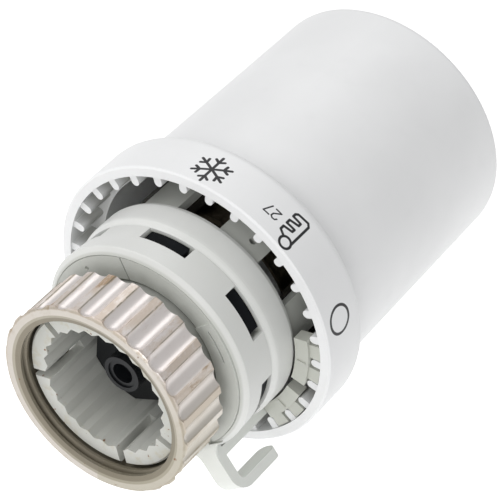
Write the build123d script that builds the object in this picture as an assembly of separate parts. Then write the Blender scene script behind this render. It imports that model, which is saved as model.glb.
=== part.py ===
from build123d import *
import math
import os

os.makedirs("parts", exist_ok=True)

# Thermostatic radiator valve head, drawn in millimetres.
# World +X is the turning axis, from the mouth of the union nut to the closed end of the cap; +Z is up.
# The origin is on that axis at the first full thread turn of the union nut.
# Every piece is drawn about its own axis first, with z along the head and x upwards, then laid down.
HEAD = Plane(origin=(0, 0, 0), x_dir=(0, 0, 1), z_dir=(1, 0, 0))

# ---- Clearances ----
RUNNING_FIT = 0.08
PRESS_GAP = 0.05
SLIDE_GAP = 0.40
FACE_GAP = 0.10
FULL_TURN = 360.0
OVERCUT = 1.0

# ---- Union nut, M30 x 1.5 female ----
THREAD_MINOR_R = 14.19
THREAD_DEPTH = 0.81
THREAD_PITCH = 1.5
THREAD_LAND = 0.5
THREAD_TURNS = 2
THREAD_END_Z = (THREAD_TURNS - 1) * THREAD_PITCH + THREAD_LAND
THREAD_MAJOR_R = THREAD_MINOR_R + THREAD_DEPTH
NUT_FACE_Z = -0.4
NUT_MOUTH_R = THREAD_MAJOR_R + 0.4
NUT_FLOOR_R = THREAD_MAJOR_R + 0.9
NUT_FLUTE_DEPTH = 0.8
NUT_CREST_R = NUT_FLOOR_R + NUT_FLUTE_DEPTH
NUT_COLLAR_R = NUT_CREST_R + 0.3
NUT_COLLAR_BACK_Z = NUT_FACE_Z + 0.5
NUT_FLUTE_FRONT_Z = NUT_FACE_Z - 0.4
NUT_FLUTES = 24
NUT_FLUTE_WIDTH = 3.3
NUT_RIDGE_ANGLE = 3.7
NUT_WALL = 1.5
NUT_RELIEF_R = THREAD_MINOR_R + 0.41
NUT_EDGE = 0.35
NUT_BACK_EDGE = 0.2

# ---- Clamp collet that grips the valve neck ----
COLLET_FRONT_Z = THREAD_END_Z + FACE_GAP
COLLET_FLANGE_R = THREAD_MINOR_R - 0.29
COLLET_FLANGE_LENGTH = 4.25
COLLET_FLANGE_BACK_Z = COLLET_FRONT_Z + COLLET_FLANGE_LENGTH
COLLET_NECK_R = COLLET_FLANGE_R - 1.4
COLLET_WALL = 1.2
SERRATIONS = 26
SERRATION_DEPTH = 0.6
SERRATION_ROOT_R = COLLET_NECK_R - COLLET_WALL
SERRATION_TIP_R = SERRATION_ROOT_R - SERRATION_DEPTH
SERRATION_PHASE = -29.6
COLLET_SLOTS = (-102.0, -49.6, 111.1, 166.3)
COLLET_SLOT_WIDTH = 1.3
COLLET_EDGE = 0.35

# ---- Washer between the nut's rear wall and the collet flange ----
NUT_PLAY = 1.2
WASHER_THICK = 0.8
WASHER_R = NUT_RELIEF_R - 0.6
WASHER_FRONT_Z = COLLET_FLANGE_BACK_Z + NUT_PLAY
NUT_REAR_BORE_R = COLLET_NECK_R + 0.7
NUT_BACK_Z = WASHER_FRONT_Z + WASHER_THICK + NUT_WALL

# ---- Base body: grip band, cage and journal plate ----
LIP_Z = NUT_BACK_Z + 2.95
LIP_DEPTH = 0.8
BASE_BORE_R = COLLET_NECK_R + 3.8
CAGE_WALL = 1.5
CAGE_R = BASE_BORE_R + CAGE_WALL
LIP_INNER_R = CAGE_R - 0.2
BAND_FRONT_R = CAGE_R + 1.05
BAND_BACK_R = CAGE_R + 0.75
CREASE_R = CAGE_R + 0.62
BULGE_R = CAGE_R + 1.25
RECESS_FLOOR_Z = LIP_Z + 1.6
COLLET_BACK_Z = LIP_Z + 3.2
BASE_SHOULDER_R = SERRATION_ROOT_R + 0.2
BASE_FLOOR_BACK_Z = LIP_Z + 4.4
WINDOW_FRONT_Z = LIP_Z + 4.45
WINDOW_LENGTH = 2.85
WINDOW_BACK_Z = WINDOW_FRONT_Z + WINDOW_LENGTH
WINDOWS = 7
WINDOW_ANGLE = 26.0
WINDOW_PHASE = 1.5
CREASE_Z = WINDOW_BACK_Z + 0.1
BULGE_FRONT_Z = CREASE_Z + 1.0
BULGE_LENGTH = 4.0
BULGE_BACK_Z = BULGE_FRONT_Z + BULGE_LENGTH
BULGE_END_Z = BULGE_BACK_Z + 1.0
CAGE_SLOT_FRONT_Z = BULGE_END_Z + 0.4
JOURNAL_PLATE = 3.0
PEG_HOLE_R = 0.6
PEG_HOLE_Z = BULGE_END_Z + 2.8
PEG_HOLE_ANGLE = 30.4

# ---- Handwheel cap, outside ----
CAP_RIM_Z = BULGE_END_Z - 0.8
RIB_TIP_R = BULGE_R + 2.9
RIB_HEIGHT = 1.98
SKIRT_WALL = 1.73
COLLAR_STEP = 2.76
CAP_TAPER = 0.4
CAP_WALL = 1.6
SKIRT_INNER_R = RIB_TIP_R + RIB_HEIGHT
COLLAR_R = SKIRT_INNER_R + SKIRT_WALL
CAP_RIM_R = COLLAR_R - 0.31
CAP_R = COLLAR_R - COLLAR_STEP
CAP_END_R = CAP_R - CAP_TAPER
COLLAR_BACK_Z = CAP_RIM_Z + 8.2
SHOULDER_BACK_Z = COLLAR_BACK_Z + 2.8
SKIRT_FLOOR_Z = CAP_RIM_Z + 5.6
CAP_END_EDGE = 1.1
RIBS = 30
RIB_PHASE = -4.3
RIB_WIDTH = 1.4
RIB_FRONT_Z = CAP_RIM_Z + 0.5

# ---- Pointer ring with its hooked pointer and stop bar ----
POINTER_ANGLE = 142.2
POINTER_WIDTH = 3.8
POINTER_RING_R = LIP_INNER_R - PRESS_GAP
POINTER_RING_INNER_R = COLLET_NECK_R + 0.5
POINTER_RING_INNER_Z = LIP_Z + 0.8
POINTER_TAB_FRONT_Z = LIP_Z - 0.6
POINTER_TAB_THICK = 1.9
HOOK_INNER_R = COLLAR_R + 0.04
HOOK_THICK = 1.7
HOOK_END_Z = CAP_RIM_Z - 1.8
HOOK_BEND = 3.2
HOOK_INNER_BEND = 1.0
FLARE_REACH = 3.0
STOP_INNER_R = BULGE_R + 0.25
STOP_THICK = 1.5
STOP_END_Z = CAP_RIM_Z + 0.6
RING_SLIT_START = 49.0
RING_SLIT_ANGLE = 21.0
RING_SLIT_R = 15.8
RING_SLIT_WIDTH = 0.35
RING_STEP_START = 45.0
RING_STEP_ANGLE = 88.0
RING_STEP_HEIGHT = 0.3
RING_SEAM_ANGLE = -13.8
RING_SEAM_WIDTH = 0.25
RING_DIMPLE_ANGLE = -43.0
RING_DIMPLE_R = 0.4

# ---- Plunger, its guide, spring collar and pressure pin ----
PLUNGER_FRONT_Z = COLLET_FRONT_Z + 4.6
PLUNGER_HUB_R = 3.2
PLUNGER_HOLE_R = 1.8
PLUNGER_HOLE_DEPTH = 2.6
PLUNGER_RIM_R = 2.5
PLUNGER_PLATE_Z = LIP_Z - 0.8
PLUNGER_PLATE_THICK = 1.4
PLUNGER_REACH_R = SERRATION_TIP_R - 0.45
PLUNGER_FLAT = 0.83 * PLUNGER_REACH_R
PLUNGER_LOBES = 3
PLUNGER_PHASE = -25.0
PIN_R = 2.0
STEM_R = PIN_R + 2.2
STEM_HEAD_R = STEM_R + 0.7
STEM_HEAD_THICK = 0.8
GUIDE_Z = WINDOW_FRONT_Z + 0.15
GUIDE_THICK = 1.6
GUIDE_TONGUE_R = CAGE_R + 0.15
GUIDE_TONGUE_ANGLE = WINDOW_ANGLE - 3.5
GUIDE_TONGUE_SHIFT = -1.0
RETURN_SPRING_R = STEM_R + 1.8
RETURN_SPRING_WIRE = 0.8
RETURN_SPRING_TURNS = 3
RETURN_SPRING_LENGTH = 8.0
SPRING_COLLAR_Z = GUIDE_Z + GUIDE_THICK + RETURN_SPRING_LENGTH
SPRING_COLLAR_THICK = 1.0
SPRING_COLLAR_R = RETURN_SPRING_R + 2.0
PIN_SOCKET_Z = GUIDE_Z + GUIDE_THICK

# ---- Setting spindle ----
SPINDLE_R = 5.0
SPINDLE_HEAD_R = SPINDLE_R - 0.5
BOSS_R = SPINDLE_R + 3.0
HUB_R = SPINDLE_HEAD_R + 3.5
CROSS_PIN_R = 1.0

# ---- Sensor carrier that rides in the cage ----
CARRIER_R = BASE_BORE_R - SLIDE_GAP
CARRIER_WALL = 1.4
CARRIER_INNER_R = CARRIER_R - CARRIER_WALL
CARRIER_PLATE = 2.0
CARRIER_FRONT_Z = SPRING_COLLAR_Z + SPRING_COLLAR_THICK
KEY_R = CAGE_R - 0.2
KEY_GAP_ANGLE = 1.5
KEY_SLOTS = (3, 6)
SNAP_RING_Z = CARRIER_FRONT_Z + 1.0
SNAP_RING_THICK = 1.0
SNAP_RING_DEPTH = 0.5
SNAP_RING_INNER_R = CARRIER_INNER_R - 1.5
SNAP_RING_GAP_ANGLE = 40.0

# ---- Liquid-filled capsule, bellows, washer and overtravel spring ----
CAN_FLANGE_R = CARRIER_INNER_R - 0.3
CAN_FLANGE_THICK = 1.0
CAN_R = CAN_FLANGE_R - 1.0
CAN_WALL = 0.5
CAN_LENGTH = 15.8
CAN_FRONT_Z = SNAP_RING_Z + SNAP_RING_THICK + 0.2
CAN_BACK_Z = CAN_FRONT_Z + CAN_LENGTH
PIN_BACK_Z = CAN_BACK_Z - 3.0
BELLOWS_OUTER_R = 8.0
BELLOWS_INNER_R = 5.4
BELLOWS_WALL = 0.4
BELLOWS_FOLDS = 6
SEAT_WASHER_THICK = 0.8
SEAT_WASHER_INNER_R = BOSS_R + 1.0
SEAT_WASHER_R = CAN_R - 0.4
OVERTRAVEL = 2.5
OVERTRAVEL_SPRING_R = BOSS_R + 2.5
OVERTRAVEL_SPRING_WIRE = 1.6
OVERTRAVEL_SPRING_TURNS = 4
OVERTRAVEL_SPRING_LENGTH = 11.2
SEAT_WASHER_BACK_Z = CAN_BACK_Z + SEAT_WASHER_THICK
CARRIER_BACK_Z = SEAT_WASHER_BACK_Z + OVERTRAVEL_SPRING_LENGTH + CARRIER_PLATE
BOSS_FRONT_Z = SEAT_WASHER_BACK_Z + OVERTRAVEL + 0.7
CAGE_SLOT_BACK_Z = CARRIER_BACK_Z - 2.0
KEY_BACK_Z = CAGE_SLOT_BACK_Z - 5.0

# ---- Hub, journal and closed end of the cap ----
HUB_FRONT_Z = CARRIER_BACK_Z + 4.0
HUB_SHOULDER_R = HUB_R + 2.0
HUB_LENGTH_IN_CAP = 11.4
CLIP_GROOVE_Z = HUB_FRONT_Z + 1.0
CLIP_GROOVE_WIDTH = 0.9
CLIP_GROOVE_R = HUB_R - 0.8
RETAINING_CLIP_R = HUB_R + 2.0
RETAINING_CLIP_GAP_ANGLE = 60.0
CAGE_TOP_Z = CLIP_GROOVE_Z + CLIP_GROOVE_WIDTH + FACE_GAP
JOURNAL_BACK_Z = CAGE_TOP_Z + JOURNAL_PLATE
HUB_SHOULDER_Z = JOURNAL_BACK_Z + FACE_GAP
CAP_END_Z = HUB_SHOULDER_Z + HUB_LENGTH_IN_CAP + CAP_WALL
SPINDLE_FRONT_Z = CAN_BACK_Z + OVERTRAVEL + 0.5
SPINDLE_END_Z = HUB_FRONT_Z + 14.0
CROSS_PIN_Z = SPINDLE_END_Z - 4.0
CROSS_PIN_LENGTH = 2 * HUB_SHOULDER_R - 2.0

# ---- Limit clips in the skirt of the cap ----
CLIP_FRONT_Z = CAP_RIM_Z - 0.15
CLIP_BLOCK_DEPTH = 2.2
CLIP_BLOCK_R = RIB_TIP_R - 0.12
CLIP_INNER_R = BULGE_R + 0.35
CLIP_OUTER_R = SKIRT_INNER_R - 0.18
CLIP_LEG_FRONT_Z = CLIP_FRONT_Z + 0.45
CLIP_LEG_ANGLE = 6.6
CLIP_LEG_END_Z = SKIRT_FLOOR_Z - 1.0
CLIP_MARK_LENGTH = 1.6
CLIP_MARK_WIDTH = 0.4
CLIP_MARK_RAISE = 0.25
CLIP_MIN_START = 80.0
CLIP_MIN_END = 105.0
CLIP_MIN_GAP_INDEX = 7
CLIP_MAX_START = 112.0
CLIP_MAX_END = 136.3
CLIP_MAX_GAP_INDEX = 10


def turned(points):
    """Solid of revolution from (radius, height) corners about the local z axis."""
    outline = Polyline([(r, 0, z) for r, z in points], close=True)
    return revolve(make_face(outline), Axis.Z)


def tube(outer_r, inner_r, z0, z1):
    """Plain ring between two heights."""
    return turned([(inner_r, z0), (outer_r, z0), (outer_r, z1), (inner_r, z1)])


def disc(r, z0, z1):
    """Plain round bar between two heights."""
    return Pos(0, 0, z0) * Cylinder(r, z1 - z0, align=(Align.CENTER, Align.CENTER, Align.MIN))


def sector(outer_r, inner_r, z0, z1, start, angle):
    """Part of a ring, from a starting angle over a given angle."""
    outline = Polyline([(inner_r, 0, z0), (outer_r, 0, z0), (outer_r, 0, z1), (inner_r, 0, z1)], close=True)
    piece = revolve(make_face(outline), Axis.Z, revolution_arc=angle)
    return Rot(0, 0, start) * piece


def radial_bar(inner_r, outer_r, width, z0, z1, angle):
    """Straight bar that runs outwards from the axis at one angle."""
    bar = Box(outer_r - inner_r, width, z1 - z0, align=(Align.MIN, Align.CENTER, Align.MIN))
    return Rot(0, 0, angle) * (Pos(inner_r, 0, z0) * bar)


def coil(mean_r, wire, z0, z1, turns):
    """Helical spring with its wire just inside the two end planes."""
    pitch = (z1 - z0 - wire) / turns
    path = Pos(0, 0, z0 + wire / 2) * Helix(pitch, z1 - z0 - wire, mean_r)
    start = path @ 0
    section = Plane(origin=start, z_dir=path % 0) * Circle(wire / 2)
    return sweep(section, path=path, is_frenet=True)


def save(shape, node):
    """Lay the piece down along world X and write it out."""
    export_step(shape.moved(HEAD.location), "parts/" + node + ".step")


def union_nut():
    wall_front_z = NUT_BACK_Z - NUT_WALL
    outline = [
        (NUT_MOUTH_R, NUT_FACE_Z),
        (NUT_COLLAR_R - NUT_EDGE, NUT_FACE_Z),
        (NUT_COLLAR_R, NUT_FACE_Z + NUT_EDGE),
        (NUT_COLLAR_R, NUT_COLLAR_BACK_Z),
        (NUT_CREST_R, NUT_COLLAR_BACK_Z + NUT_COLLAR_R - NUT_CREST_R),
        (NUT_CREST_R, NUT_BACK_Z - NUT_BACK_EDGE),
        (NUT_CREST_R - NUT_BACK_EDGE, NUT_BACK_Z),
        (NUT_REAR_BORE_R, NUT_BACK_Z),
        (NUT_REAR_BORE_R, wall_front_z),
        (NUT_RELIEF_R, wall_front_z),
        (NUT_RELIEF_R, THREAD_END_Z),
        (THREAD_MINOR_R, THREAD_END_Z),
    ]
    # The thread is drawn as ring grooves one pitch apart, with flat lands at the minor radius.
    for turn in range(THREAD_TURNS - 1, 0, -1):
        groove_back_z = turn * THREAD_PITCH
        groove_front_z = groove_back_z - THREAD_PITCH + THREAD_LAND
        outline.append((THREAD_MINOR_R, groove_back_z))
        outline.append((THREAD_MAJOR_R, (groove_back_z + groove_front_z) / 2))
        outline.append((THREAD_MINOR_R, groove_front_z))
    outline.append((THREAD_MINOR_R, 0.0))
    nut = turned(outline)
    half_width = NUT_FLUTE_WIDTH / 2
    scoop_r = (half_width ** 2 + NUT_FLUTE_DEPTH ** 2) / (2 * NUT_FLUTE_DEPTH)
    scoop_z = NUT_FLUTE_FRONT_Z + scoop_r
    scoop = disc(scoop_r, scoop_z, NUT_BACK_Z + OVERCUT) + Pos(0, 0, scoop_z) * Sphere(scoop_r)
    flutes = []
    for i in range(NUT_FLUTES):
        angle = NUT_RIDGE_ANGLE + (i + 0.5) * FULL_TURN / NUT_FLUTES
        flutes.append(Rot(0, 0, angle) * (Pos(NUT_FLOOR_R + scoop_r, 0, 0) * scoop))
    return nut - flutes


def nut_thrust_washer():
    return tube(WASHER_R, COLLET_NECK_R + PRESS_GAP, WASHER_FRONT_Z, WASHER_FRONT_Z + WASHER_THICK)


def clamp_collet():
    body = turned([
        (SERRATION_ROOT_R, COLLET_FRONT_Z),
        (COLLET_FLANGE_R - COLLET_EDGE, COLLET_FRONT_Z),
        (COLLET_FLANGE_R, COLLET_FRONT_Z + COLLET_EDGE),
        (COLLET_FLANGE_R, COLLET_FLANGE_BACK_Z),
        (COLLET_NECK_R, COLLET_FLANGE_BACK_Z),
        (COLLET_NECK_R, COLLET_BACK_Z),
        (SERRATION_ROOT_R, COLLET_BACK_Z),
    ])
    pitch = FULL_TURN / SERRATIONS
    half = math.radians(pitch / 2)
    root = SERRATION_ROOT_R + PRESS_GAP
    tooth = make_face(Polyline([
        (root * math.cos(half), -root * math.sin(half)),
        (SERRATION_TIP_R, 0),
        (root * math.cos(half), root * math.sin(half)),
        (root, 0),
    ], close=True))
    bar = Pos(0, 0, COLLET_FRONT_Z) * extrude(tooth, COLLET_BACK_Z - COLLET_FRONT_Z, dir=(0, 0, 1))
    teeth = []
    for i in range(SERRATIONS):
        teeth.append(Rot(0, 0, SERRATION_PHASE + (i + 0.5) * pitch) * bar)
    body = body + teeth
    slots = []
    for angle in COLLET_SLOTS:
        slots.append(radial_bar(
            SERRATION_TIP_R - OVERCUT,
            COLLET_FLANGE_R + OVERCUT,
            COLLET_SLOT_WIDTH,
            COLLET_FRONT_Z - OVERCUT,
            NUT_BACK_Z + OVERCUT,
            angle,
        ))
    return body - slots


def base_body():
    collet_bore_r = COLLET_NECK_R + PRESS_GAP
    lip_back_z = LIP_Z + LIP_DEPTH
    body = turned([
        (collet_bore_r, RECESS_FLOOR_Z),
        (LIP_INNER_R, RECESS_FLOOR_Z),
        (LIP_INNER_R, LIP_Z + 0.1),
        (LIP_INNER_R + 0.15, LIP_Z),
        (BAND_FRONT_R - 0.15, lip_back_z - 0.1),
        (BAND_FRONT_R, lip_back_z + 0.1),
        (BAND_BACK_R, CREASE_Z - 0.2),
        (CREASE_R, CREASE_Z),
        (CREASE_R + 0.12, CREASE_Z + 0.25),
        (BULGE_R - 0.2, BULGE_FRONT_Z - 0.35),
        (BULGE_R - 0.05, BULGE_FRONT_Z),
        (BULGE_R, BULGE_FRONT_Z + 0.5),
        (BULGE_R, BULGE_BACK_Z),
        (BULGE_R - 0.25, BULGE_BACK_Z + 0.7),
        (CAGE_R, BULGE_END_Z),
        (CAGE_R, JOURNAL_BACK_Z),
        (HUB_R + RUNNING_FIT, JOURNAL_BACK_Z),
        (HUB_R + RUNNING_FIT, CAGE_TOP_Z),
        (BASE_BORE_R, CAGE_TOP_Z),
        (BASE_BORE_R, BASE_FLOOR_BACK_Z),
        (BASE_SHOULDER_R, BASE_FLOOR_BACK_Z),
        (BASE_SHOULDER_R, COLLET_BACK_Z),
        (collet_bore_r, COLLET_BACK_Z),
    ])
    cuts = []
    for i in range(WINDOWS):
        start = WINDOW_PHASE + i * FULL_TURN / WINDOWS - WINDOW_ANGLE / 2
        cuts.append(sector(
            BAND_FRONT_R + OVERCUT, BASE_BORE_R - OVERCUT, WINDOW_FRONT_Z, WINDOW_BACK_Z, start, WINDOW_ANGLE
        ))
        cuts.append(sector(
            CAGE_R + OVERCUT, BASE_BORE_R - OVERCUT, CAGE_SLOT_FRONT_Z, CAGE_SLOT_BACK_Z, start, WINDOW_ANGLE
        ))
    cuts.append(radial_bar(
        POINTER_RING_R - OVERCUT,
        BAND_FRONT_R + OVERCUT,
        POINTER_WIDTH + 2 * FACE_GAP,
        LIP_Z - OVERCUT,
        POINTER_TAB_FRONT_Z + POINTER_TAB_THICK + FACE_GAP,
        POINTER_ANGLE,
    ))
    peg = Rot(0, 90, 0) * Cylinder(PEG_HOLE_R, 6 * OVERCUT)
    cuts.append(Rot(0, 0, PEG_HOLE_ANGLE) * (Pos(CAGE_R, 0, PEG_HOLE_Z) * peg))
    return body - cuts


def ring_cone(raised, back_z, start, angle):
    """Dished ring between the collet neck and the lip, its front lifted by a given height."""
    outline = Polyline([
        (POINTER_RING_INNER_R, 0, POINTER_RING_INNER_Z - raised),
        (POINTER_RING_R, 0, LIP_Z - raised),
        (POINTER_RING_R, 0, back_z),
        (POINTER_RING_INNER_R, 0, back_z),
    ], close=True)
    return Rot(0, 0, start) * revolve(make_face(outline), Axis.Z, revolution_arc=angle)


def pointer_hook():
    """Tab through the lip, bent into an arm that runs back along the collar, with a flared root."""
    tab_back_z = POINTER_TAB_FRONT_Z + POINTER_TAB_THICK
    outer_r = HOOK_INNER_R + HOOK_THICK
    root_r = POINTER_RING_R - OVERCUT
    side = make_face(Polyline([
        (root_r, 0, POINTER_TAB_FRONT_Z),
        (outer_r, 0, POINTER_TAB_FRONT_Z),
        (outer_r, 0, HOOK_END_Z),
        (HOOK_INNER_R, 0, HOOK_END_Z),
        (HOOK_INNER_R, 0, tab_back_z),
        (root_r, 0, tab_back_z),
    ], close=True))
    hook = extrude(side, POINTER_WIDTH / 2, both=True)
    across = hook.edges().filter_by(Axis.Y)
    outer_corner = across.group_by(Axis.Z)[0].sort_by(Axis.X)[-1]
    inner_corner = across.group_by(Axis.Z)[1].sort_by(Axis.X)[-1]
    hook = fillet(outer_corner, HOOK_BEND)
    inner_corner = hook.edges().filter_by(Axis.Y).sort_by_distance(inner_corner.center())[0]
    hook = fillet(inner_corner, HOOK_INNER_BEND)
    hook = fillet(hook.edges().filter_by(Axis.X).group_by(Axis.Z)[-1], POINTER_WIDTH / 2 - 0.3)
    edge = []
    steps = 6
    for i in range(steps + 1):
        turn = math.radians(90.0 * i / steps)
        r = POINTER_RING_R + FLARE_REACH * (1 - math.cos(turn))
        edge.append((r, POINTER_WIDTH / 2 + FLARE_REACH * (1 - math.sin(turn))))
    mirrored = [(r, -across_at) for r, across_at in reversed(edge)]
    web = make_face(Polyline(edge + mirrored, close=True))
    web = Pos(0, 0, POINTER_TAB_FRONT_Z) * extrude(web, LIP_Z - POINTER_TAB_FRONT_Z - PRESS_GAP, dir=(0, 0, 1))
    return hook + web


def pointer_ring():
    ring = ring_cone(0, RECESS_FLOOR_Z, 0, FULL_TURN)
    ring = ring + ring_cone(RING_STEP_HEIGHT, RECESS_FLOOR_Z - FACE_GAP, RING_STEP_START, RING_STEP_ANGLE)
    tab_back_z = POINTER_TAB_FRONT_Z + POINTER_TAB_THICK
    seam = radial_bar(
        POINTER_RING_INNER_R - OVERCUT,
        POINTER_RING_R + OVERCUT,
        RING_SEAM_WIDTH,
        POINTER_TAB_FRONT_Z,
        RECESS_FLOOR_Z - 0.5,
        RING_SEAM_ANGLE,
    )
    slit = sector(
        RING_SLIT_R + RING_SLIT_WIDTH / 2,
        RING_SLIT_R - RING_SLIT_WIDTH / 2,
        POINTER_TAB_FRONT_Z - OVERCUT,
        RECESS_FLOOR_Z + OVERCUT,
        RING_SLIT_START,
        RING_SLIT_ANGLE,
    )
    dimple = Rot(0, 0, RING_DIMPLE_ANGLE) * (Pos(RING_SLIT_R, 0, LIP_Z) * Cylinder(RING_DIMPLE_R, 1.5))
    ring = ring - seam - slit - dimple
    bar = radial_bar(
        STOP_INNER_R, STOP_INNER_R + STOP_THICK, POINTER_WIDTH, tab_back_z - FACE_GAP, STOP_END_Z, POINTER_ANGLE
    )
    return ring + bar + Rot(0, 0, POINTER_ANGLE) * pointer_hook()


def plunger_guide():
    """Black disc that guides the plunger and snaps into the base's windows with seven tongues."""
    guide = tube(BASE_BORE_R - FACE_GAP, STEM_R + RUNNING_FIT, GUIDE_Z, GUIDE_Z + GUIDE_THICK)
    tongues = []
    for i in range(WINDOWS):
        middle = WINDOW_PHASE + GUIDE_TONGUE_SHIFT + i * FULL_TURN / WINDOWS
        tongues.append(sector(
            GUIDE_TONGUE_R,
            BASE_BORE_R - 0.6,
            GUIDE_Z,
            WINDOW_BACK_Z - FACE_GAP,
            middle - GUIDE_TONGUE_ANGLE / 2,
            GUIDE_TONGUE_ANGLE,
        ))
    return guide + tongues


def plunger():
    head_back_z = SPRING_COLLAR_Z + SPRING_COLLAR_THICK + STEM_HEAD_THICK
    body = disc(PLUNGER_HUB_R, PLUNGER_FRONT_Z, PLUNGER_PLATE_Z + PLUNGER_PLATE_THICK)
    body = body + disc(STEM_R, PLUNGER_PLATE_Z + PLUNGER_PLATE_THICK, head_back_z - STEM_HEAD_THICK)
    body = body + turned([
        (0, head_back_z - STEM_HEAD_THICK),
        (STEM_HEAD_R, head_back_z - STEM_HEAD_THICK),
        (STEM_R, head_back_z),
        (0, head_back_z),
    ])
    corners = []
    for i in range(PLUNGER_LOBES):
        angle = math.radians(PLUNGER_PHASE + i * FULL_TURN / PLUNGER_LOBES)
        corners.append((2 * PLUNGER_FLAT * math.cos(angle), 2 * PLUNGER_FLAT * math.sin(angle)))
    lobes = make_face(Polyline(corners, close=True))
    plate = Pos(0, 0, PLUNGER_PLATE_Z) * extrude(lobes, PLUNGER_PLATE_THICK, dir=(0, 0, 1))
    plate = plate & disc(PLUNGER_REACH_R, PLUNGER_PLATE_Z, PLUNGER_PLATE_Z + PLUNGER_PLATE_THICK)
    body = body + plate
    rim_groove = tube(PLUNGER_RIM_R, PLUNGER_HOLE_R, PLUNGER_FRONT_Z - OVERCUT, PLUNGER_FRONT_Z + 0.3)
    hole = disc(PLUNGER_HOLE_R, PLUNGER_FRONT_Z - OVERCUT, PLUNGER_FRONT_Z + PLUNGER_HOLE_DEPTH)
    socket = disc(PIN_R + PRESS_GAP, PIN_SOCKET_Z, head_back_z + OVERCUT)
    return body - rim_groove - hole - socket


def spring_collar():
    return tube(
        SPRING_COLLAR_R, STEM_R + PRESS_GAP, SPRING_COLLAR_Z, SPRING_COLLAR_Z + SPRING_COLLAR_THICK
    )


def pressure_pin():
    return disc(PIN_R, PIN_SOCKET_Z, PIN_BACK_Z)


def return_spring():
    return coil(
        RETURN_SPRING_R, RETURN_SPRING_WIRE, PIN_SOCKET_Z, SPRING_COLLAR_Z, RETURN_SPRING_TURNS
    )


def handwheel_cap():
    end_inner_z = CAP_END_Z - CAP_WALL
    cap_inner_r = CAP_R - CAP_WALL
    blend_r = COLLAR_R - CAP_R
    outline = [
        (SKIRT_INNER_R, CAP_RIM_Z),
        (CAP_RIM_R, CAP_RIM_Z),
        (COLLAR_R, CAP_RIM_Z + COLLAR_R - CAP_RIM_R),
        (COLLAR_R, COLLAR_BACK_Z),
    ]
    # The collar rolls over into the narrower barrel in a few straight facets.
    shoulder_steps = 8
    for i in range(1, shoulder_steps):
        turn = math.radians(90.0 * i / shoulder_steps)
        r = CAP_R + blend_r * math.cos(turn)
        z = COLLAR_BACK_Z + (SHOULDER_BACK_Z - COLLAR_BACK_Z) * math.sin(turn) * 0.8
        outline.append((r, z))
    outline.append((CAP_R, SHOULDER_BACK_Z))
    for i in range(5):
        turn = math.radians(90.0 * i / 4)
        r = CAP_END_R - CAP_END_EDGE + CAP_END_EDGE * math.cos(turn)
        z = CAP_END_Z - CAP_END_EDGE + CAP_END_EDGE * math.sin(turn)
        outline.append((r, z))
    outline += [
        (0, CAP_END_Z),
        (0, end_inner_z),
        (CAP_END_R - CAP_WALL, end_inner_z),
        (cap_inner_r, SHOULDER_BACK_Z),
        (cap_inner_r, SKIRT_FLOOR_Z),
        (SKIRT_INNER_R, SKIRT_FLOOR_Z),
    ]
    shell = turned(outline)
    hub = turned([
        (0, SPINDLE_END_Z + FACE_GAP),
        (SPINDLE_HEAD_R + PRESS_GAP, SPINDLE_END_Z + FACE_GAP),
        (SPINDLE_HEAD_R + PRESS_GAP, HUB_FRONT_Z),
        (HUB_R, HUB_FRONT_Z),
        (HUB_R, CLIP_GROOVE_Z),
        (CLIP_GROOVE_R - FACE_GAP, CLIP_GROOVE_Z),
        (CLIP_GROOVE_R - FACE_GAP, CLIP_GROOVE_Z + CLIP_GROOVE_WIDTH),
        (HUB_R, CLIP_GROOVE_Z + CLIP_GROOVE_WIDTH),
        (HUB_R, HUB_SHOULDER_Z),
        (HUB_SHOULDER_R, HUB_SHOULDER_Z),
        (HUB_SHOULDER_R, end_inner_z + FACE_GAP),
        (0, end_inner_z + FACE_GAP),
    ])
    ribs = []
    rib_round = RIB_WIDTH / 2
    for i in range(RIBS):
        angle = RIB_PHASE + i * FULL_TURN / RIBS
        ribs.append(radial_bar(
            RIB_TIP_R + rib_round,
            SKIRT_INNER_R + 0.2,
            RIB_WIDTH,
            RIB_FRONT_Z,
            SKIRT_FLOOR_Z + FACE_GAP,
            angle,
        ))
        tip = Pos(RIB_TIP_R + rib_round, 0, 0) * disc(rib_round, RIB_FRONT_Z, SKIRT_FLOOR_Z + FACE_GAP)
        ribs.append(Rot(0, 0, angle) * tip)
    cross_hole = Pos(0, 0, CROSS_PIN_Z) * (Rot(0, 90, 0) * Cylinder(CROSS_PIN_R + PRESS_GAP, CROSS_PIN_LENGTH))
    return shell + hub + ribs - cross_hole


def cap_retaining_clip():
    clip_z = CLIP_GROOVE_Z + FACE_GAP
    return sector(
        RETAINING_CLIP_R,
        CLIP_GROOVE_R,
        clip_z,
        clip_z + CLIP_GROOVE_WIDTH - 2 * FACE_GAP,
        RETAINING_CLIP_GAP_ANGLE / 2,
        FULL_TURN - RETAINING_CLIP_GAP_ANGLE,
    )


def limit_clip(start, end, first_gap):
    """Block that meets the stop bar, held by two legs pushed between the cap's ribs."""
    clip = sector(
        CLIP_BLOCK_R, CLIP_INNER_R, CLIP_FRONT_Z, CLIP_FRONT_Z + CLIP_BLOCK_DEPTH, start, end - start
    )
    pitch = FULL_TURN / RIBS
    for i in range(2):
        middle = RIB_PHASE + (first_gap + i + 0.5) * pitch
        clip = clip + sector(
            CLIP_OUTER_R,
            CLIP_BLOCK_R - FACE_GAP,
            CLIP_LEG_FRONT_Z,
            CLIP_LEG_END_Z,
            middle - CLIP_LEG_ANGLE / 2,
            CLIP_LEG_ANGLE,
        )
    mark_r = (CLIP_INNER_R + CLIP_BLOCK_R - CLIP_MARK_LENGTH) / 2
    mark = radial_bar(
        mark_r,
        mark_r + CLIP_MARK_LENGTH,
        CLIP_MARK_WIDTH,
        CLIP_FRONT_Z - CLIP_MARK_RAISE,
        CLIP_FRONT_Z + FACE_GAP,
        (start + end) / 2,
    )
    return clip + mark


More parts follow.
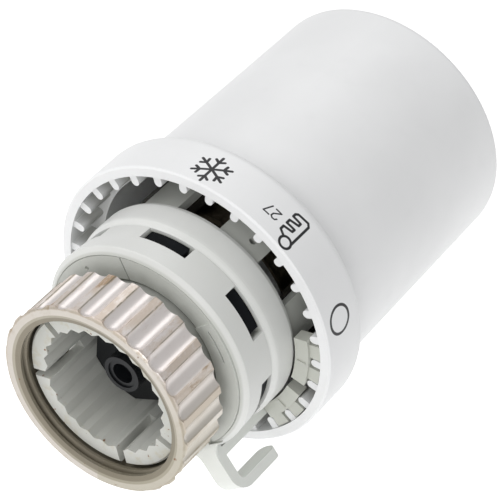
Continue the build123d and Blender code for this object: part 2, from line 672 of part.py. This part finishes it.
def spindle():
    bar = disc(SPINDLE_R, SPINDLE_FRONT_Z, HUB_FRONT_Z) + disc(SPINDLE_HEAD_R, HUB_FRONT_Z, SPINDLE_END_Z)
    cross_hole = Pos(0, 0, CROSS_PIN_Z) * (Rot(0, 90, 0) * Cylinder(CROSS_PIN_R + PRESS_GAP, CROSS_PIN_LENGTH))
    return bar - cross_hole


def spindle_pin():
    pin = Cylinder(CROSS_PIN_R, CROSS_PIN_LENGTH - 2 * FACE_GAP)
    return Pos(0, 0, CROSS_PIN_Z) * (Rot(0, 90, 0) * pin)


def sensor_carrier():
    """Cup with open sides: two keys run in cage slots, and the other slots look in on the capsule."""
    plate_front_z = CARRIER_BACK_Z - CARRIER_PLATE
    groove_r = CARRIER_INNER_R + SNAP_RING_DEPTH + PRESS_GAP
    cup = turned([
        (CARRIER_INNER_R, CARRIER_FRONT_Z),
        (CARRIER_R, CARRIER_FRONT_Z),
        (CARRIER_R, CARRIER_BACK_Z),
        (SPINDLE_R + RUNNING_FIT, CARRIER_BACK_Z),
        (SPINDLE_R + RUNNING_FIT, BOSS_FRONT_Z),
        (BOSS_R, BOSS_FRONT_Z),
        (BOSS_R, plate_front_z),
        (CARRIER_INNER_R, plate_front_z),
        (CARRIER_INNER_R, SNAP_RING_Z + SNAP_RING_THICK),
        (groove_r, SNAP_RING_Z + SNAP_RING_THICK),
        (groove_r, SNAP_RING_Z),
        (CARRIER_INNER_R, SNAP_RING_Z),
    ])
    for k in range(WINDOWS):
        middle = WINDOW_PHASE + k * FULL_TURN / WINDOWS
        if k in KEY_SLOTS:
            key_angle = WINDOW_ANGLE - 2 * KEY_GAP_ANGLE
            start = middle - key_angle / 2
            cup = cup + sector(KEY_R, CARRIER_R - 0.3, CARRIER_FRONT_Z + 3.0, KEY_BACK_Z, start, key_angle)
        else:
            start = middle - WINDOW_ANGLE / 2
            cup = cup - sector(
                CARRIER_R + OVERCUT,
                CARRIER_INNER_R - FACE_GAP,
                CARRIER_FRONT_Z - OVERCUT,
                plate_front_z - OVERCUT,
                start,
                WINDOW_ANGLE,
            )
    return cup


def sensor_retaining_ring():
    return sector(
        CARRIER_INNER_R + SNAP_RING_DEPTH,
        SNAP_RING_INNER_R,
        SNAP_RING_Z,
        SNAP_RING_Z + SNAP_RING_THICK,
        SNAP_RING_GAP_ANGLE / 2,
        FULL_TURN - SNAP_RING_GAP_ANGLE,
    )


def sensor_capsule():
    bore_r = CAN_R - CAN_WALL
    return turned([
        (bore_r, CAN_FRONT_Z),
        (CAN_FLANGE_R, CAN_FRONT_Z),
        (CAN_FLANGE_R, CAN_FRONT_Z + CAN_FLANGE_THICK),
        (CAN_R, CAN_FRONT_Z + CAN_FLANGE_THICK),
        (CAN_R, CAN_BACK_Z - CAN_WALL),
        (CAN_R - CAN_WALL, CAN_BACK_Z),
        (0, CAN_BACK_Z),
        (0, CAN_BACK_Z - CAN_WALL),
        (bore_r, CAN_BACK_Z - CAN_WALL),
    ])


def capsule_end_plate():
    return tube(
        CAN_R - CAN_WALL - PRESS_GAP, PIN_R + RUNNING_FIT, CAN_FRONT_Z, CAN_FRONT_Z + CAN_FLANGE_THICK
    )


def sensor_bellows():
    seat_z = CAN_FRONT_Z + CAN_FLANGE_THICK
    cap_front_z = PIN_BACK_Z + FACE_GAP
    cap_back_z = cap_front_z + 2 * BELLOWS_WALL
    outer = [(BELLOWS_OUTER_R, seat_z)]
    inner = [(BELLOWS_OUTER_R - BELLOWS_WALL, seat_z)]
    fold = (cap_front_z - seat_z) / BELLOWS_FOLDS
    for i in range(BELLOWS_FOLDS):
        valley_z = seat_z + (i + 0.5) * fold
        crest_z = seat_z + (i + 1) * fold
        outer.append((BELLOWS_INNER_R + BELLOWS_WALL, valley_z))
        inner.append((BELLOWS_INNER_R, valley_z))
        outer.append((BELLOWS_OUTER_R, crest_z))
        inner.append((BELLOWS_OUTER_R - BELLOWS_WALL, crest_z))
    outer.append((BELLOWS_OUTER_R, cap_back_z))
    top = [(0, cap_back_z), (0, cap_front_z)]
    return turned(outer + top + inner[::-1])


def spring_seat_washer():
    return tube(SEAT_WASHER_R, SEAT_WASHER_INNER_R, CAN_BACK_Z, SEAT_WASHER_BACK_Z)


def overtravel_spring():
    return coil(
        OVERTRAVEL_SPRING_R,
        OVERTRAVEL_SPRING_WIRE,
        SEAT_WASHER_BACK_Z,
        CARRIER_BACK_Z - CARRIER_PLATE,
        OVERTRAVEL_SPRING_TURNS,
    )


save(union_nut(), "union_nut")
save(nut_thrust_washer(), "nut_thrust_washer")
save(clamp_collet(), "clamp_collet")
save(base_body(), "base_body")
save(pointer_ring(), "pointer_ring")
save(plunger_guide(), "plunger_guide")
save(plunger(), "plunger")
save(spring_collar(), "spring_collar")
save(pressure_pin(), "pressure_pin")
save(return_spring(), "return_spring")
save(handwheel_cap(), "handwheel_cap")
save(cap_retaining_clip(), "cap_retaining_clip")
save(limit_clip(CLIP_MIN_START, CLIP_MIN_END, CLIP_MIN_GAP_INDEX), "limit_clip_min")
save(limit_clip(CLIP_MAX_START, CLIP_MAX_END, CLIP_MAX_GAP_INDEX), "limit_clip_max")
save(spindle(), "spindle")
save(spindle_pin(), "spindle_pin")
save(sensor_carrier(), "sensor_carrier")
save(sensor_retaining_ring(), "sensor_retaining_ring")
save(sensor_capsule(), "sensor_capsule")
save(capsule_end_plate(), "capsule_end_plate")
save(sensor_bellows(), "sensor_bellows")
save(spring_seat_washer(), "spring_seat_washer")
save(overtravel_spring(), "overtravel_spring")
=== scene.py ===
import bpy
import math
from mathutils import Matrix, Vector

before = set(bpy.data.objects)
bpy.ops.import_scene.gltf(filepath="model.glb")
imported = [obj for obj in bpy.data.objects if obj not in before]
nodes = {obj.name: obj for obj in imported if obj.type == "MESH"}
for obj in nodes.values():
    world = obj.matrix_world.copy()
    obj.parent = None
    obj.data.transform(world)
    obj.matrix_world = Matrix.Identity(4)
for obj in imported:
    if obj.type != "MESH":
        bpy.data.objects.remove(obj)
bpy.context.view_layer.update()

MM = 0.001

# ---- Places on the head, in metres. A pair is where a change of finish starts and ends. ----
# Distances from the axis
INK_FROM = (25.2 * MM, 25.4 * MM)
CAP_INSIDE = (23.7 * MM, 24.1 * MM)
BASE_INSIDE = (17.9 * MM, 18.3 * MM)
RING_BAND = (17.6 * MM, 18.6 * MM)
NUT_RIDGE = (16.4 * MM, 16.62 * MM)
NUT_BORE = (15.45 * MM, 15.6 * MM)
NUT_THREAD = (14.95 * MM, 15.1 * MM)
# Stations along the axis
SKIRT_DEPTH = (25.6 * MM, 28.5 * MM)
SKIRT_END = (30.9 * MM, 31.1 * MM)
COLLET_MOUTH = (2.2 * MM, 3.2 * MM)
COLLET_DEPTH = (3.0 * MM, 14.0 * MM)
NUT_RIM = (-0.3 * MM, 0.0 * MM)
# The nut's flutes: one every FLUTE_PITCH degrees, the first ridge at RIDGE_ANGLE from the top,
# with a line of painted shade beside each ridge. The side of the nut with painted shade over it
# follows, in degrees.
FLUTE_RADIUS = 16.7 * MM
FLUTE_PITCH = 15.0
RIDGE_ANGLE = 3.7
CREASE_OFFSET = 0.62 * MM
CREASE_WIDTH = (0.03 * MM, 0.14 * MM)
CREASE_START = (-0.1 * MM, 0.4 * MM)
SHADED_SIDE = (45, 105)

# ---- Printed marks on the collar; angles in degrees from the top, sizes in millimetres ----
COLLAR_RADIUS = 25.66 * MM
MARK_STATION = 29.3 * MM
STROKE = 0.24
FIGURE_STROKE = 0.13
COIL_STROKE = 0.22
INK_EDGE = 0.05
SNOWFLAKE_ANGLE = 2.9
FIGURES_ANGLE = 28.7
COIL_ANGLE = 38.0
RING_ANGLE = 74.3
SCALE_ANGLE = 150
SCALE_STEP = 35
DIGITS = {
    "1": [(0.2, 0.8), (0.55, 1.0), (0.55, 0.0)],
    "2": [(0.0, 0.76), (0.2, 0.96), (0.6, 1.0), (0.95, 0.85), (0.9, 0.55), (0.0, 0.0), (1.0, 0.0)],
    "3": [(0.0, 1.0), (0.9, 1.0), (0.4, 0.6), (0.85, 0.5), (0.95, 0.2), (0.55, 0.0), (0.0, 0.12)],
    "4": [(0.75, 0.0), (0.75, 1.0), (0.0, 0.28), (1.0, 0.28)],
    "5": [
        (0.9, 1.0), (0.12, 1.0), (0.08, 0.55), (0.6, 0.62), (0.98, 0.34), (0.65, 0.0), (0.0, 0.08),
    ],
    "7": [(0.0, 1.0), (1.0, 1.0), (0.37, 0.0)],
}
HEATING_COIL = [
    (0.35, 1.7), (1.45, 1.15), (1.45, 0.37), (-0.1, -0.07), (-0.15, -0.68), (1.45, -0.5),
    (1.45, -1.28), (-0.15, -1.78), (-0.15, -2.34), (1.45, -2.26), (1.45, -2.85), (1.1, -3.25),
    (-0.9, -3.55), (-1.38, -3.1), (-1.38, 1.75),
]

# ---- Colours; a pair is the clean tone and the shade it drifts to ----
CAP_WHITE = ((0.84, 0.845, 0.85), (0.80, 0.805, 0.81))
# Painted shade for the hollow inside the cap's skirt
CAP_PAINTED_SHADE = (0.36, 0.36, 0.33)
INK = (0.012, 0.012, 0.014)
BASE_WHITE = ((0.72, 0.725, 0.71), (0.67, 0.68, 0.655))
# Painted shade for the base's inner parts near the axis
BASE_PAINTED_SHADE = (0.46, 0.475, 0.43)
RING_WHITE = ((0.78, 0.80, 0.765), (0.72, 0.74, 0.70))
# Painted shade for the ring's band next to the nut
RING_PAINTED_SHADE = (0.55, 0.56, 0.52)
CLIP_WHITE = ((0.56, 0.57, 0.52), (0.49, 0.50, 0.45))
COLLET_WHITE = ((0.64, 0.645, 0.61), (0.55, 0.555, 0.515))
COLLET_STAIN = (0.52, 0.48, 0.36)
# Painted shade for the collet deeper inside the nut
COLLET_PAINTED_SHADE = (0.36, 0.37, 0.345)
COLLET_RUST = (0.22, 0.10, 0.04)
NICKEL = ((0.90, 0.855, 0.84), (0.78, 0.72, 0.69))
NICKEL_TAN = (0.63, 0.53, 0.44)
NICKEL_SPOT = (0.42, 0.29, 0.18)
# Painted shade for the line beside each ridge of the nut
NICKEL_CREASE_SHADE = (0.18, 0.17, 0.12)
# Painted shade for one side of the nut
NICKEL_SIDE_SHADE = (0.50, 0.475, 0.38)
NICKEL_MOUTH = (0.33, 0.30, 0.225)
# Painted shade for the nut's thread
NICKEL_THREAD_SHADE = (0.15, 0.125, 0.085)
NICKEL_RUST = (0.20, 0.09, 0.035)
BLACK = ((0.005, 0.006, 0.007), (0.012, 0.013, 0.015))
BLACK_DUST = (0.10, 0.10, 0.10)
CARRIER = ((0.030, 0.029, 0.026), (0.060, 0.055, 0.046))
CARRIER_RUB = (0.20, 0.15, 0.10)
# Painted glint: silvery streaks on the carrier
CARRIER_PAINTED_GLINT = (0.42, 0.41, 0.39)
STEEL = ((0.62, 0.63, 0.64), (0.40, 0.40, 0.40))
BRASS = ((0.74, 0.57, 0.30), (0.52, 0.38, 0.18))
BRONZE = ((0.72, 0.50, 0.32), (0.50, 0.31, 0.19))
DULL_BRASS = ((0.26, 0.22, 0.16), (0.07, 0.06, 0.045))
FLOOR_GREY = ((0.90, 0.90, 0.90), (0.88, 0.88, 0.88))

# ---- Studio, in metres and watts ----
MIDDLE = (0.03, 0, 0)
PANELS = {
    "key_panel": {"place": (-0.25, 0.55, 0.95), "side": 0.9, "power": 5.4},
    "front_panel": {"place": (-0.75, -0.25, 0.45), "side": 0.5, "power": 2.5},
    "back_panel": {"place": (0.60, 0.28, 0.66), "side": 0.45, "power": 0.8},
}
SKY_STRENGTH = 0.5
FLOOR_SIDE = 8
FLOOR_HEIGHT = -0.25
FLOOR_GLOW = 0.45
CAMERA_PLACE = (-0.22033, -0.17847, 0.27193)
CAMERA_FORWARD = (0.6273, 0.4277, -0.6508)
CAMERA_LENS = 187.2
CAMERA_SENSOR = 36
CAMERA_CLIP = (0.01, 20)


class Num:
    """A number inside a material; arithmetic on it adds Math nodes."""

    def __init__(self, paint, socket):
        self.paint = paint
        self.socket = socket

    def math(self, operation, *values, clamp=False):
        settings = {"operation": operation, "use_clamp": clamp}
        made = self.paint.node("ShaderNodeMath", settings, dict(enumerate(values)))
        return Num(self.paint, made.outputs[0])

    def __add__(self, other):
        return self.math("ADD", self, other)

    def __radd__(self, other):
        return self.math("ADD", other, self)

    def __sub__(self, other):
        return self.math("SUBTRACT", self, other)

    def __rsub__(self, other):
        return self.math("SUBTRACT", other, self)

    def __mul__(self, other):
        return self.math("MULTIPLY", self, other)

    def __rmul__(self, other):
        return self.math("MULTIPLY", other, self)

    def __neg__(self):
        return self.math("MULTIPLY", self, -1.0)

    def smaller(self, other):
        return self.math("MINIMUM", self, other)

    def larger(self, other):
        return self.math("MAXIMUM", self, other)

    def size(self):
        return self.math("ABSOLUTE", self)

    def root(self):
        return self.math("SQRT", self)

    def between(self, low, high):
        """0 below low, 1 above high, easing between."""
        made = self.paint.node(
            "ShaderNodeMapRange",
            {"interpolation_type": "SMOOTHSTEP"},
            {"Value": self, "From Min": low, "From Max": high},
        )
        return Num(self.paint, made.outputs["Result"])


class Paint:
    """One finish: a node material built from the shader outwards."""

    def __init__(self, name):
        self.material = bpy.data.materials.new(name)
        self.material.use_nodes = True
        self.tree = self.material.node_tree
        self.tree.nodes.clear()
        self.shader = self.node("ShaderNodeBsdfPrincipled")
        self.node("ShaderNodeOutputMaterial", inputs={"Surface": self.shader.outputs["BSDF"]})
        self.place = self.node("ShaderNodeTexCoord").outputs["Object"]
        split = self.node("ShaderNodeSeparateXYZ", inputs={"Vector": self.place})
        self.x = Num(self, split.outputs["X"])
        self.y = Num(self, split.outputs["Y"])
        self.z = Num(self, split.outputs["Z"])

    def node(self, kind, settings=None, inputs=None):
        made = self.tree.nodes.new(kind)
        for name, value in (settings or {}).items():
            setattr(made, name, value)
        for name, value in (inputs or {}).items():
            self.join(value, made.inputs[name])
        return made

    def join(self, value, socket):
        if isinstance(value, Num):
            value = value.socket
        if isinstance(value, bpy.types.NodeSocket):
            self.tree.links.new(value, socket)
        elif isinstance(value, tuple) and len(value) == 3 and socket.type == "RGBA":
            socket.default_value = (*value, 1)
        else:
            socket.default_value = value

    def set(self, label, value):
        """Joins a value, or sets a constant, on one of the shader's own inputs."""
        self.join(value, self.shader.inputs[label])

    def noise(self, scale, detail=3.0, roughness=0.55, stretch=None):
        place = self.place
        if stretch:
            mapping = self.node("ShaderNodeMapping", inputs={"Vector": place, "Scale": stretch})
            place = mapping.outputs["Vector"]
        made = self.node(
            "ShaderNodeTexNoise",
            inputs={"Vector": place, "Scale": scale, "Detail": detail, "Roughness": roughness},
        )
        return Num(self, made.outputs["Fac"])

    def mix(self, share, first, second):
        made = self.node("ShaderNodeMix", {"data_type": "RGBA"}, {0: share, 6: first, 7: second})
        return made.outputs[2]

    def bump(self, height, distance):
        inputs = {"Height": height, "Distance": distance, "Strength": 1.0}
        return self.node("ShaderNodeBump", inputs=inputs).outputs["Normal"]

    def radius(self):
        """Distance from the head's axis."""
        return (self.y * self.y + self.z * self.z).root()

    def turn(self):
        """Angle about the axis in radians, from straight up towards the viewer's side."""
        return self.y.math("ARCTAN2", -self.y, self.z)


class Stencil:
    """Gathers printed strokes on the collar; distances are in millimetres."""

    def __init__(self, paint):
        self.paint = paint
        self.around = paint.turn()
        self.nearest = None

    def sheet(self, degrees):
        """Flat place on one mark: across in reading order, and up towards the collar's rim."""
        offset = math.radians(degrees) - self.around
        across = offset.math("WRAP", offset, math.pi, -math.pi) * (COLLAR_RADIUS / MM)
        up = (MARK_STATION - self.paint.x) * (1 / MM)
        return across, up

    def point(self, across, up):
        return self.paint.node("ShaderNodeCombineXYZ", inputs={0: across, 1: up}).outputs[0]

    def mark(self, degrees):
        return self.point(*self.sheet(degrees))

    def add(self, distance):
        self.nearest = distance if self.nearest is None else self.nearest.smaller(distance)

    def vector(self, operation, *values, out=0):
        settings = {"operation": operation}
        made = self.paint.node("ShaderNodeVectorMath", settings, dict(enumerate(values)))
        return made.outputs[out]

    def line(self, point, start, end, thick=STROKE):
        run = (end[0] - start[0], end[1] - start[1], 0)
        length = math.hypot(*run)
        offset = self.vector("SUBTRACT", point, (*start, 0))
        along = Num(self.paint, self.vector("DOT_PRODUCT", offset, run, out=1))
        share = along.math("MULTIPLY", along, 1 / length ** 2, clamp=True)
        scaled = {0: run, "Scale": share}
        foot = self.paint.node("ShaderNodeVectorMath", {"operation": "SCALE"}, scaled).outputs[0]
        self.add(Num(self.paint, self.vector("DISTANCE", offset, foot, out=1)) - thick)

    def path(self, point, corners, thick):
        for start, end in zip(corners, corners[1:]):
            self.line(point, start, end, thick)

    def ring(self, point, centre, radius, thick):
        away = Num(self.paint, self.vector("DISTANCE", point, (*centre, 0), out=1))
        self.add((away - radius).size() - thick)

    def dot(self, degrees, radius):
        self.add(Num(self.paint, self.vector("LENGTH", self.mark(degrees), out=1)) - radius)

    def digit(self, text, point, corner, size, thick):
        """Draws one figure from its lower left corner; size is its width and height."""
        corners = [
            (corner[0] + size[0] * across, corner[1] + size[1] * up) for across, up in DIGITS[text]
        ]
        self.path(point, corners, thick)

    def snowflake(self, degrees):
        """Six arms, each with a pair of barbs, drawn as one half arm folded round."""
        across, up = self.sheet(degrees)
        far = (across * across + up * up).root()
        angle = across.math("ARCTAN2", up, across)
        arm = math.radians(60)
        folded = angle.math("PINGPONG", angle - arm / 2, arm / 2)
        along = far * folded.math("COSINE", folded)
        aside = far * folded.math("SINE", folded)
        tip = self.point(along, aside)
        self.line(tip, (0, 0), (3.1, 0))
        self.line(tip, (1.85, 0), (2.4, 0.78))

    def ink(self):
        """1 under the ink, 0 on bare plastic."""
        on_collar = self.paint.radius().between(*INK_FROM)
        return (1 - self.nearest.between(-INK_EDGE, INK_EDGE)) * on_collar


# ---- Finishes ----
def moulded_white(name, white, grain, gloss):
    """White moulded plastic: faint colour drift, fine spark texture and a few soft scuffs."""
    tone, shade = white
    paint = Paint(name)
    drift = paint.noise(45, 3)
    cloud = paint.noise(260, 4)
    scuff = paint.noise(900, 5, 0.7, stretch=(0.35, 1.0, 1.0)).between(0.62, 0.78)
    color = paint.mix(drift.between(0.3, 0.7), tone, shade)
    color = paint.mix(cloud.between(0.55, 0.85) * 0.25, color, tuple(0.93 * c for c in shade))
    texture = paint.noise(3800, 2, 0.6) * 0.7 + paint.noise(1500, 2) * 0.3
    paint.set("Roughness", gloss + cloud * 0.12 + scuff * 0.10)
    paint.set("Normal", paint.bump(texture, grain))
    paint.set("IOR", 1.49)
    return paint, color


def collar_ink(paint):
    """The marks round the collar: frost sign, heating coil, ring sign and the scale 5 to 1."""
    stencil = Stencil(paint)
    stencil.snowflake(SNOWFLAKE_ANGLE)
    label = stencil.mark(FIGURES_ANGLE)
    stencil.digit("2", label, (-1.3, -0.9), (1.1, 1.8), FIGURE_STROKE)
    stencil.digit("7", label, (0.1, -0.9), (1.1, 1.75), FIGURE_STROKE)
    coil = stencil.mark(COIL_ANGLE)
    stencil.path(coil, HEATING_COIL, COIL_STROKE)
    stencil.ring(coil, (-0.5, 2.3), 1.03, COIL_STROKE)
    stencil.ring(stencil.mark(RING_ANGLE), (0, -0.1), 2.3, STROKE)
    scale = "54321"
    for i, figure in enumerate(scale):
        place = stencil.mark(SCALE_ANGLE + SCALE_STEP * i)
        stencil.digit(figure, place, (-1.2, -2.0), (2.4, 4.0), STROKE)
    for i in range(len(scale) - 1):
        stencil.dot(SCALE_ANGLE + SCALE_STEP * (i + 0.5), 0.45)
    return stencil.ink()


def cap_plastic():
    """The cap's satin white, printed round the collar, with painted shade greying it inside the
    skirt.
    """
    paint, color = moulded_white("satin_white_cap", CAP_WHITE, 0.012 * MM, 0.40)
    marks = collar_ink(paint)
    # Painted shade: greyer inside the skirt, where its hollow lies in shade
    inside = 1 - paint.radius().between(*CAP_INSIDE)
    skirt_shade = inside * paint.x.between(*SKIRT_DEPTH) * (1 - paint.x.between(*SKIRT_END))
    color = paint.mix(skirt_shade * 0.7, color, CAP_PAINTED_SHADE)
    ink = marks * paint.noise(2600, 2).between(0.12, 0.3)
    paint.set("Base Color", paint.mix(ink, color, INK))
    return paint.material


def base_plastic():
    paint, color = moulded_white("white_base_plastic", BASE_WHITE, 0.008 * MM, 0.36)
    # Painted shade over the base's inner parts, close to the axis, which lie in shade
    inside = 1 - paint.radius().between(*BASE_INSIDE)
    paint.set("Base Color", paint.mix(inside * 0.6, color, BASE_PAINTED_SHADE))
    return paint.material


def ring_plastic():
    paint, color = moulded_white("offwhite_pointer_plastic", RING_WHITE, 0.008 * MM, 0.38)
    # Painted shade: the band next to the nut is darkened, as the nut shades it
    ring = 1 - paint.radius().between(*RING_BAND)
    paint.set("Base Color", paint.mix(ring * 0.5, color, RING_PAINTED_SHADE))
    return paint.material


def clip_plastic():
    paint, color = moulded_white("offwhite_clip_plastic", CLIP_WHITE, 0.006 * MM, 0.34)
    paint.set("Base Color", color)
    return paint.material


def collet_plastic():
    """The gripped collet: chalky white, stained at its mouth, speckled with valve rust and
    darkened with painted shade further in.
    """
    paint, color = moulded_white("worn_collet_plastic", COLLET_WHITE, 0.02 * MM, 0.5)
    mouth = 1 - paint.x.between(*COLLET_MOUTH)
    stain = paint.noise(420, 5, 0.65).between(0.5, 0.66) * mouth
    # Painted shade: darker further into the nut and base
    deep_shade = paint.x.between(*COLLET_DEPTH)
    specks = paint.noise(950, 2, 0.4).between(0.70, 0.74) * mouth
    color = paint.mix(stain * 0.5, color, COLLET_STAIN)
    color = paint.mix(deep_shade * 0.6, color, COLLET_PAINTED_SHADE)
    color = paint.mix(specks, color, COLLET_RUST)
    paint.set("Base Color", color)
    return paint.material


def flute_crease(paint):
    """1 along the line of painted shade beside each ridge of the nut."""
    turned = paint.turn() - math.radians(RIDGE_ANGLE)
    half = math.radians(FLUTE_PITCH) / 2
    beside = turned.math("WRAP", turned, half, -half) * FLUTE_RADIUS
    crease = 1 - (beside - CREASE_OFFSET).size().between(*CREASE_WIDTH)
    return crease * paint.x.between(*CREASE_START) * paint.noise(500, 3).between(0.3, 0.5)


def worn_nickel():
    """Nickel plate over brass: pinkish in the flutes, tarnished on the ridges, with painted shade
    in the creases, over one side and in the thread.
    """
    paint = Paint("tarnished_nickel")
    radius = paint.radius()
    patches = paint.noise(190, 5, 0.7, stretch=(0.45, 1, 1))
    fine = paint.noise(1300, 4, 0.7)
    ridge = radius.between(*NUT_RIDGE)
    rim = 1 - paint.x.between(*NUT_RIM)
    bore = 1 - radius.between(*NUT_BORE)
    mouth = (rim * 0.6).larger(bore)
    color = paint.mix(patches, *NICKEL)
    tan = ridge * (patches + fine * 0.2).between(0.46, 0.66)
    color = paint.mix(tan * 0.8, color, NICKEL_TAN)
    spots = paint.noise(430, 5, 0.7, stretch=(0.4, 1, 1)).between(0.55, 0.68)
    spots = spots * (0.2 + 0.8 * ridge)
    color = paint.mix(spots * 0.85, color, NICKEL_SPOT)
    # Painted shade: a dark line in each flute beside its ridge
    crease = flute_crease(paint)
    color = paint.mix(crease * 0.75, color, NICKEL_CREASE_SHADE)
    # Painted shade over one side of the nut, the side away from the key light
    side_shade = paint.turn().between(*(math.radians(side) for side in SHADED_SIDE))
    color = paint.mix(side_shade * 0.6, color, NICKEL_SIDE_SHADE)
    color = paint.mix(mouth * 0.85, color, NICKEL_MOUTH)
    # Painted shade: darker down in the thread
    thread_shade = 1 - radius.between(*NUT_THREAD)
    color = paint.mix(thread_shade * 0.6, color, NICKEL_THREAD_SHADE)
    rust = paint.noise(700, 3, 0.5).between(0.70, 0.76) * mouth
    color = paint.mix(rust, color, NICKEL_RUST)
    drawn = paint.noise(1700, 3, 0.6, stretch=(0.06, 1, 1))
    paint.set("Base Color", color)
    paint.set("Roughness", 0.30 + tan * 0.14 + spots * 0.15 + mouth * 0.12 + fine * 0.08)
    paint.set("Metallic", 0.72 - mouth * 0.1 - crease * 0.5 - rust * 0.5)
    paint.set("Normal", paint.bump(drawn, 0.003 * MM))
    return paint.material


def black_plastic(name, shine):
    """Black moulded plastic with a little dust; shine scales its reflection."""
    paint = Paint(name)
    cloud = paint.noise(500, 4)
    dust = paint.noise(1600, 4, 0.7).between(0.60, 0.80)
    color = paint.mix(cloud, *BLACK)
    paint.set("Base Color", paint.mix(dust * 0.15 * shine, color, BLACK_DUST))
    paint.set("Roughness", 0.30 + cloud * 0.16 + dust * 0.2)
    paint.set("Normal", paint.bump(paint.noise(3000, 2), 0.006 * MM))
    paint.set("Specular IOR Level", 0.4 * shine)
    return paint.material


def metal(name, tones, gloss, drawn):
    """Plain working metal with drawing lines round or along it and a little dulling."""
    paint = Paint(name)
    dull = paint.noise(240, 4, 0.65)
    lines = paint.noise(2200, 3, 0.6, stretch=drawn)
    paint.set("Base Color", paint.mix(dull.between(0.35, 0.7), *tones))
    paint.set("Roughness", gloss + dull * 0.18 + lines * 0.08)
    paint.set("Normal", paint.bump(lines, 0.006 * MM))
    paint.set("Metallic", 1.0)
    return paint.material


def carrier_plastic():
    """Dark moulded carrier with brown rub marks and painted silvery glints along its slides."""
    paint = Paint("dark_carrier_plastic")
    cloud = paint.noise(300, 4)
    rubbed = paint.noise(420, 4, 0.6, stretch=(0.12, 1, 1)).between(0.56, 0.70)
    # Painted glint: silvery streaks standing in for metal glinting through the slots
    painted_glint = paint.noise(620, 3, 0.6, stretch=(0.1, 1, 1)).between(0.64, 0.74)
    color = paint.mix(cloud, *CARRIER)
    color = paint.mix(rubbed * 0.7, color, CARRIER_RUB)
    color = paint.mix(painted_glint * 0.5, color, CARRIER_PAINTED_GLINT)
    paint.set("Base Color", color)
    paint.set("Roughness", 0.32 + cloud * 0.2)
    paint.set("Normal", paint.bump(paint.noise(2500, 2), 0.008 * MM))
    return paint.material


steel = metal("bright_spring_steel", STEEL, 0.22, (0.3, 1, 1))
brass = metal("satin_brass", BRASS, 0.25, (1, 0.25, 0.25))
bronze = metal("bellows_bronze", BRONZE, 0.24, (1, 0.2, 0.2))
dull_brass = metal("dulled_capsule_brass", DULL_BRASS, 0.30, (0.2, 1, 1))
plunger_black = black_plastic("black_moulded_plastic", 0.7)
guide_black = black_plastic("dull_black_guide", 0.08)
clip_white = clip_plastic()
FINISHES = {
    "base_body": base_plastic(),
    "clamp_collet": collet_plastic(),
    "pointer_ring": ring_plastic(),
    "plunger_guide": guide_black,
    "return_spring": steel,
    "union_nut": worn_nickel(),
    "nut_thrust_washer": steel,
    "plunger": plunger_black,
    "spring_collar": plunger_black,
    "pressure_pin": steel,
    "handwheel_cap": cap_plastic(),
    "cap_retaining_clip": steel,
    "limit_clip_min": clip_white,
    "limit_clip_max": clip_white,
    "spindle": brass,
    "spindle_pin": steel,
    "sensor_carrier": carrier_plastic(),
    "sensor_retaining_ring": steel,
    "overtravel_spring": steel,
    "sensor_capsule": dull_brass,
    "capsule_end_plate": dull_brass,
    "sensor_bellows": bronze,
    "spring_seat_washer": steel,
}

for name, finish in FINISHES.items():
    mesh = nodes[name].data
    mesh.materials.clear()
    mesh.materials.append(finish)


# ---- Studio ----
def floor():
    paint = Paint("pale_floor")
    paint.set("Base Color", paint.mix(paint.noise(3, 2), *FLOOR_GREY))
    paint.set("Roughness", 0.9)
    paint.set("Emission Color", (1, 1, 1))
    paint.set("Emission Strength", FLOOR_GLOW)
    bpy.ops.object.select_all(action="DESELECT")
    bpy.ops.mesh.primitive_plane_add(size=FLOOR_SIDE, location=(0, 0, FLOOR_HEIGHT))
    plane = bpy.context.object
    plane.name = "studio_floor"
    plane.data.materials.append(paint.material)


def hang(name, data, place, forward):
    """Puts a lamp or camera at a place, looking along a direction with its top up."""
    holder = bpy.data.objects.new(name, data)
    bpy.context.scene.collection.objects.link(holder)
    holder.location = place
    holder.rotation_euler = Vector(forward).to_track_quat("-Z", "Y").to_euler()
    return holder


def panel_light(name, place, side, power):
    lamp = bpy.data.lights.new(name, "AREA")
    lamp.shape = "RECTANGLE"
    lamp.size, lamp.size_y = side, side
    lamp.energy = power
    hang(name, lamp, place, Vector(MIDDLE) - Vector(place))


def camera():
    lens = bpy.data.cameras.new("studio_camera")
    lens.lens = CAMERA_LENS
    lens.sensor_width = CAMERA_SENSOR
    lens.clip_start, lens.clip_end = CAMERA_CLIP
    bpy.context.scene.camera = hang("studio_camera", lens, CAMERA_PLACE, CAMERA_FORWARD)


def sky(strength):
    world = bpy.data.worlds.new("studio_sky")
    bpy.context.scene.world = world
    world.use_nodes = True
    background = world.node_tree.nodes["Background"]
    background.inputs["Color"].default_value = (1, 1, 1, 1)
    background.inputs["Strength"].default_value = strength


floor()
camera()
sky(SKY_STRENGTH)
for name, panel in PANELS.items():
    panel_light(name, **panel)
bpy.context.scene.view_settings.view_transform = "Standard"
